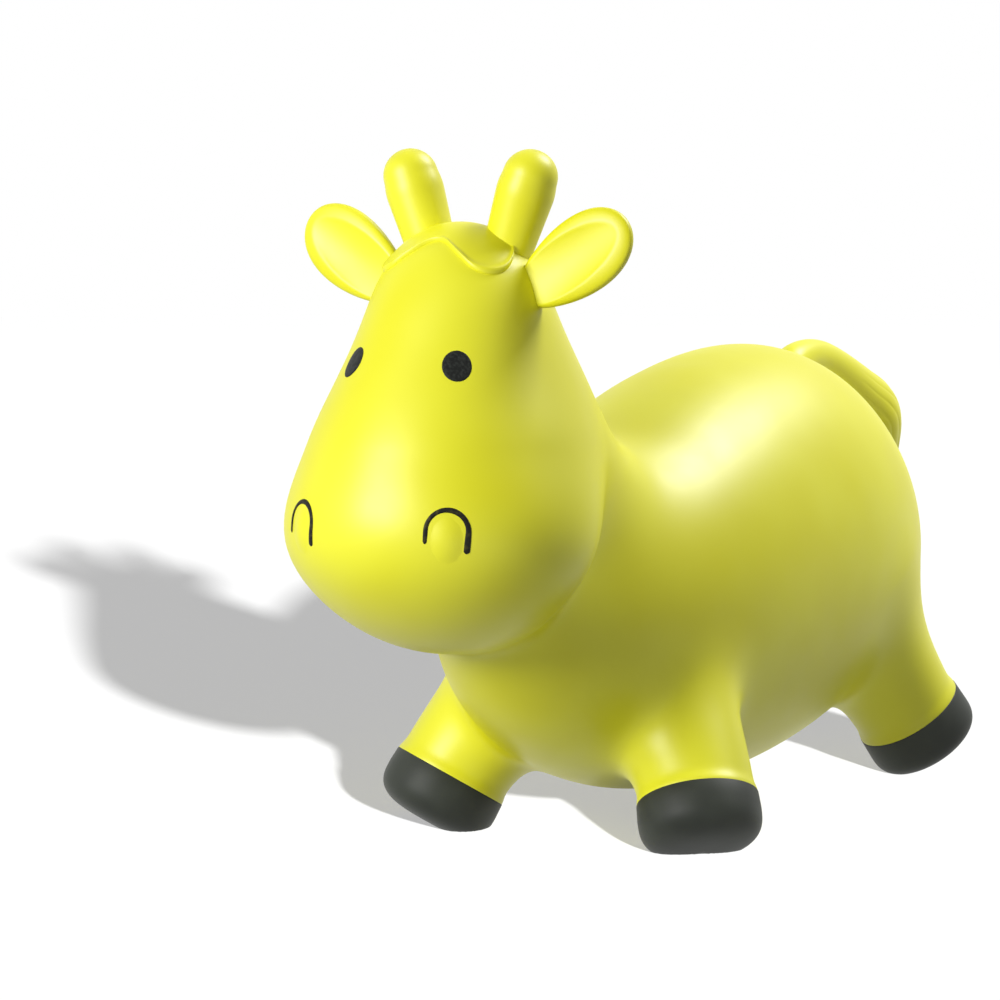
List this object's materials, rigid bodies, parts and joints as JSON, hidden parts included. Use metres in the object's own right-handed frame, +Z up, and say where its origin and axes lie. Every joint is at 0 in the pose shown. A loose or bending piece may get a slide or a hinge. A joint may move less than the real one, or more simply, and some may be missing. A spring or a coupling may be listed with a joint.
{
  "type": "inflatable ride-on cow",
  "caption": "Soft inflated bouncy cow to sit astride and hop on: fat round body, horns to hold, stubby splayed legs with dark rounded hooves, and a moulded tail",
  "frame": {"origin": "centre of the bounding box's underside, on the floor that the four hooves stand on", "axes": "+Y from the head to the tail, so the cow faces -Y; +X to its left; +Z up"},
  "size_m": [0.2598, 0.7158, 0.4388],
  "materials": {
    "skin": "satin",
    "hoof_paint": "matte",
    "face_paint": "matte",
    "valve": "satin"
  },
  "bodies": {
    "skin": {"torso_skin": "skin", "head_skin": "skin", "forelock": "skin", "valve_seat": "valve", "eye_left": "face_paint", "nostril_arch_left": "face_paint", "nostril_bump_left": "skin", "eye_right": "face_paint", "nostril_arch_right": "face_paint", "nostril_bump_right": "skin", "leg_front_left": "skin", "leg_front_right": "skin", "leg_rear_left": "skin", "leg_rear_right": "skin"},
    "hoof_front_left": {"hoof_front_left": "hoof_paint", "ankle_front_left": "skin"},
    "hoof_front_right": {"hoof_front_right": "hoof_paint", "ankle_front_right": "skin"},
    "hoof_rear_left": {"hoof_rear_left": "hoof_paint", "ankle_rear_left": "skin"},
    "hoof_rear_right": {"hoof_rear_right": "hoof_paint", "ankle_rear_right": "skin"},
    "horn_left": {"horn_left": "skin"},
    "horn_right": {"horn_right": "skin"},
    "ear_left": {"ear_left": "skin"},
    "ear_right": {"ear_right": "skin"},
    "tail": {"tail": "skin"},
    "valve_plug": {"valve_plug": "valve"}
  },
  "joints": [
    {"name": "leg_squash_front_left", "type": "slide", "parent": "skin", "child": "hoof_front_left", "axis": [-0.3427, 0.3855, 0.8567], "range_m": [0, 0.018], "stiffness_N_per_m": 6000, "springref_m": -0.001},
    {"name": "leg_squash_front_right", "type": "slide", "parent": "skin", "child": "hoof_front_right", "axis": [0.3427, 0.3855, 0.8567], "range_m": [0, 0.018], "stiffness_N_per_m": 6000, "springref_m": -0.001},
    {"name": "leg_squash_rear_left", "type": "slide", "parent": "skin", "child": "hoof_rear_left", "axis": [-0.3441, -0.4588, 0.8192], "range_m": [0, 0.018], "stiffness_N_per_m": 6000, "springref_m": -0.001},
    {"name": "leg_squash_rear_right", "type": "slide", "parent": "skin", "child": "hoof_rear_right", "axis": [0.3441, -0.4588, 0.8192], "range_m": [0, 0.018], "stiffness_N_per_m": 6000, "springref_m": -0.001},
    {"name": "horn_bend_left", "type": "hinge", "parent": "skin", "child": "horn_left", "pos_m": [0.03048, -0.23465, 0.3904], "axis": [1, 0, 0], "range_deg": [-15, 15], "stiffness_Nm_per_rad": 0.6},
    {"name": "horn_bend_right", "type": "hinge", "parent": "skin", "child": "horn_right", "pos_m": [-0.03048, -0.23465, 0.3904], "axis": [1, 0, 0], "range_deg": [-15, 15], "stiffness_Nm_per_rad": 0.6},
    {"name": "ear_bend_left", "type": "hinge", "parent": "skin", "child": "ear_left", "pos_m": [0.05308, -0.24318, 0.35884], "axis": [-0.5473, 0.0744, 0.8336], "range_deg": [-20, 20], "stiffness_Nm_per_rad": 0.8},
    {"name": "ear_bend_right", "type": "hinge", "parent": "skin", "child": "ear_right", "pos_m": [-0.05308, -0.24318, 0.35884], "axis": [-0.5473, -0.0744, -0.8336], "range_deg": [-20, 20], "stiffness_Nm_per_rad": 0.8},
    {"name": "tail_bend", "type": "hinge", "parent": "skin", "child": "tail", "pos_m": [0, 0.21032, 0.28636], "axis": [1, 0, 0], "range_deg": [-5, 25], "stiffness_Nm_per_rad": 2.5},
    {"name": "plug_pull", "type": "slide", "parent": "skin", "child": "valve_plug", "axis": [0, 0.6294, -0.7771], "range_m": [0, 0.014]}
  ]
}
